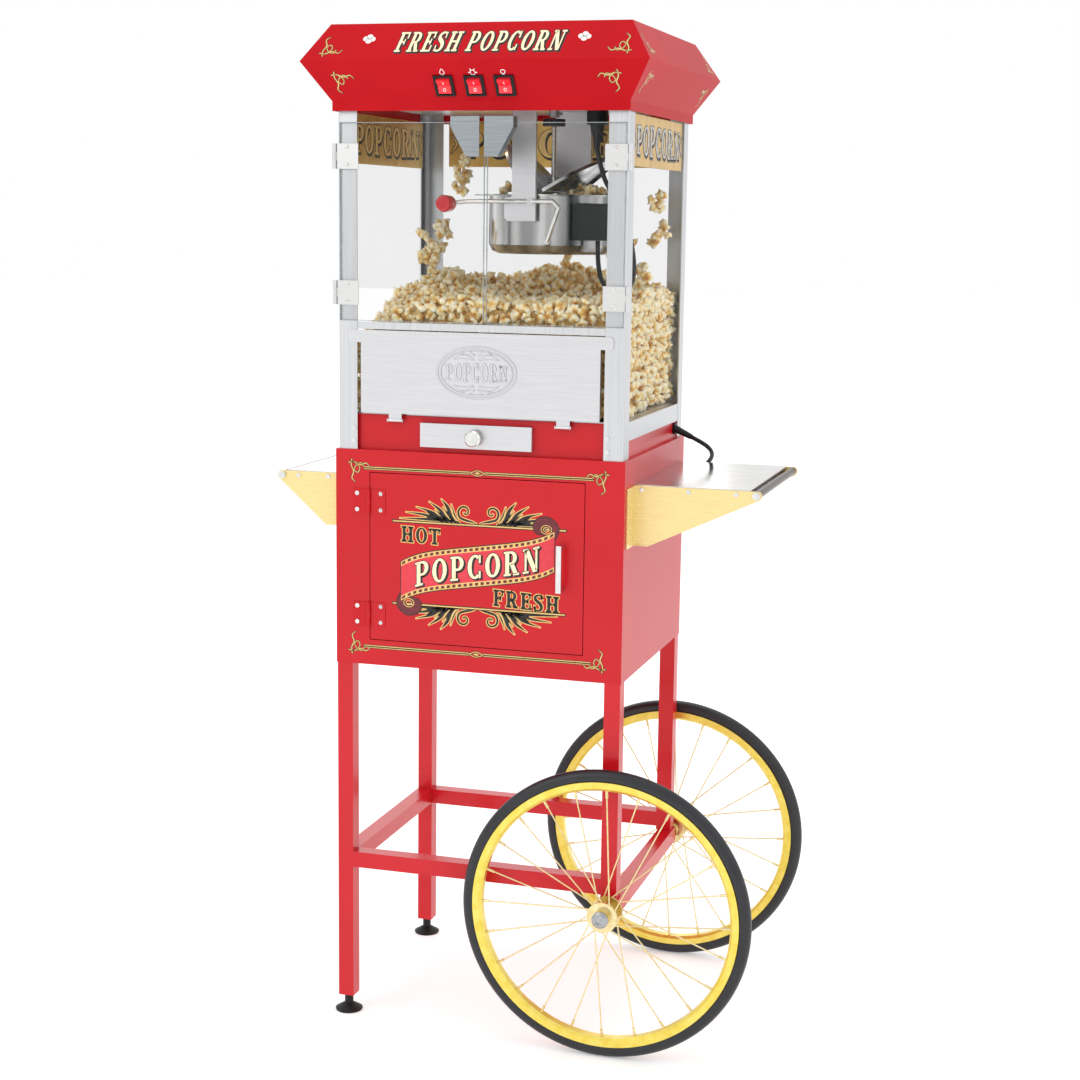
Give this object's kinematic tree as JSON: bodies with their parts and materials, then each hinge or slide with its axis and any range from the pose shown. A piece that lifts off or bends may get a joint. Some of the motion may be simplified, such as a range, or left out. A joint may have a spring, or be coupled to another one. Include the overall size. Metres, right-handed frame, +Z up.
{
  "type": "popcorn maker on cart",
  "caption": "Cart-mounted popcorn maker: glazed popping case with a tipping kettle over a cupboard on square legs with spoked wheels.",
  "frame": {"origin": "on the floor, under the middle of the whole cart's box, wheels and trays included", "axes": "+Z up, the front with the doors faces -Y, the wheels are at +X"},
  "size_m": [0.789, 0.53, 1.565],
  "materials": {
    "red_enamel": "powder-coated steel sheet, gloss",
    "red_tube": "powder-coated square steel tube",
    "red_plastic": "glossy moulded phenolic",
    "stainless": "brushed stainless steel sheet",
    "spun_steel": "spun and polished stainless steel",
    "zinc_steel": "zinc-plated steel",
    "chrome": "chrome plate",
    "aluminium": "anodised extrusion",
    "gold_sheet": "gold anodised sheet, brushed",
    "gold_rim": "gold lacquered rim",
    "acrylic": "clear acrylic sheet",
    "glass": "clear tempered sheet",
    "black_tyre": "black rubber",
    "black_rubber": "matt black",
    "black_plastic": "moulded, matt",
    "bronze": "dark bronze lacquer",
    "switch_red": "translucent red, gloss",
    "lamp_glass": "frosted glass"
  },
  "bodies": {
    "cart": {"cart_frame": "red_tube", "axle_beam": "red_tube", "axle_and_nuts": "zinc_steel", "cabinet_shell": "red_enamel", "cabinet_plates": "red_enamel", "hinge_brackets": "stainless", "serving_trays": "stainless", "tray_gussets": "gold_sheet", "tray_bars": "bronze", "popper_base": "red_enamel", "corner_posts": "aluminium", "panel_rails": "aluminium", "fixed_panes": "glass", "popcorn_deck": "stainless", "roof_canopy": "red_enamel", "ceiling_plate": "stainless", "gear_motor": "zinc_steel", "lamp": "lamp_glass", "switch_bezels": "black_plastic", "kettle_hangers": "stainless", "kettle_lead": "black_rubber", "kettle_plug": "black_rubber", "ceiling_socket": "black_plastic", "mains_gland": "black_rubber", "mains_lead": "black_rubber", "mains_coil": "black_rubber", "mains_plug": "black_rubber", "screws": "chrome"},
    "left_door_leaf": {"left_door": "acrylic", "left_door_fittings": "stainless"},
    "right_door_leaf": {"right_door": "acrylic", "right_door_fittings": "stainless"},
    "apron": {"drop_front": "stainless"},
    "drawer": {"crumb_drawer": "stainless", "drawer_knob": "chrome"},
    "cabinet_door_leaf": {"cabinet_door": "red_enamel", "cabinet_handle": "chrome", "cabinet_hinge_leaves": "red_enamel"},
    "kettle": {"kettle_pot": "spun_steel", "kettle_heater": "zinc_steel", "kettle_rods": "chrome", "handle_knob": "red_plastic", "terminal_box": "black_plastic"},
    "left_lid_flap": {"left_lid": "spun_steel"},
    "right_lid_flap": {"right_lid": "spun_steel"},
    "spindle": {"stirrer": "spun_steel"},
    "motor_shaft": {"motor_dog": "zinc_steel"},
    "kettle_rocker": {"kettle_switch": "switch_red"},
    "motor_rocker": {"motor_switch": "switch_red"},
    "lamp_rocker": {"lamp_switch": "switch_red"},
    "near_wheel": {"near_tyre": "black_tyre", "near_rim": "gold_rim", "near_hub": "gold_rim", "near_spokes": "gold_rim"},
    "far_wheel": {"far_tyre": "black_tyre", "far_rim": "gold_rim", "far_hub": "gold_rim", "far_spokes": "gold_rim"},
    "front_foot_screw": {"front_foot": "black_plastic"},
    "rear_foot_screw": {"rear_foot": "black_plastic"}
  },
  "joints": [
    {"name": "left_door_swing", "type": "hinge", "parent": "cart", "child": "left_door_leaf", "pos_m": [-0.28805, -0.2035, 1.27], "axis": [0, 0, -1], "range_deg": [0, 120]},
    {"name": "right_door_swing", "type": "hinge", "parent": "cart", "child": "right_door_leaf", "pos_m": [0.17595, -0.2035, 1.27], "axis": [0, 0, 1], "range_deg": [0, 120]},
    {"name": "apron_drop", "type": "hinge", "parent": "cart", "child": "apron", "pos_m": [-0.05605, -0.1991, 0.9715], "axis": [1, 0, 0], "range_deg": [0, 90]},
    {"name": "drawer_slide", "type": "slide", "parent": "cart", "child": "drawer", "axis": [0, -1, 0], "range_m": [0, 0.165]},
    {"name": "cabinet_door_swing", "type": "hinge", "parent": "cart", "child": "cabinet_door_leaf", "pos_m": [-0.23325, -0.2033, 0.7565], "axis": [0, 0, -1], "range_deg": [0, 120]},
    {"name": "kettle_tilt", "type": "hinge", "parent": "cart", "child": "kettle", "pos_m": [-0.00005, 0, 1.307], "axis": [0, -1, 0], "range_deg": [0, 90], "deforming": ["kettle_lead"]},
    {"name": "left_lid_lift", "type": "hinge", "parent": "kettle", "child": "left_lid_flap", "pos_m": [-0.00805, 0, 1.3231], "axis": [0, 1, 0], "range_deg": [-50, 22]},
    {"name": "right_lid_lift", "type": "hinge", "parent": "kettle", "child": "right_lid_flap", "pos_m": [0.00795, 0, 1.3231], "axis": [0, -1, 0], "range_deg": [-32, 40]},
    {"name": "stirrer_turn", "type": "hinge", "parent": "kettle", "child": "spindle", "pos_m": [-0.00005, 0, 1.3], "axis": [0, 0, 1], "continuous": true},
    {"name": "motor_turn", "type": "hinge", "parent": "cart", "child": "motor_shaft", "pos_m": [-0.00005, 0, 1.46], "axis": [0, 0, 1], "continuous": true},
    {"name": "kettle_switch_tip", "type": "hinge", "parent": "cart", "child": "kettle_rocker", "pos_m": [-0.10355, -0.22092, 1.4763], "axis": [-1, 0, 0], "range_deg": [0, 12]},
    {"name": "motor_switch_tip", "type": "hinge", "parent": "cart", "child": "motor_rocker", "pos_m": [-0.05605, -0.22092, 1.4763], "axis": [-1, 0, 0], "range_deg": [0, 12]},
    {"name": "lamp_switch_tip", "type": "hinge", "parent": "cart", "child": "lamp_rocker", "pos_m": [-0.00955, -0.22092, 1.4763], "axis": [-1, 0, 0], "range_deg": [0, 12]},
    {"name": "near_wheel_roll", "type": "hinge", "parent": "cart", "child": "near_wheel", "pos_m": [0.16595, -0.232, 0.2286], "axis": [0, 1, 0], "continuous": true},
    {"name": "far_wheel_roll", "type": "hinge", "parent": "cart", "child": "far_wheel", "pos_m": [0.16595, 0.232, 0.2286], "axis": [0, 1, 0], "continuous": true},
    {"name": "front_foot_turn", "type": "hinge", "parent": "cart", "child": "front_foot_screw", "pos_m": [-0.27465, -0.1861, 0.02], "axis": [0, 0, 1], "continuous": true},
    {"name": "rear_foot_turn", "type": "hinge", "parent": "cart", "child": "rear_foot_screw", "pos_m": [-0.27465, 0.1861, 0.02], "axis": [0, 0, 1], "continuous": true}
  ],
  "couplings": [
    {"joint": "motor_turn", "follows": "stirrer_turn", "ratio": 1}
  ]
}
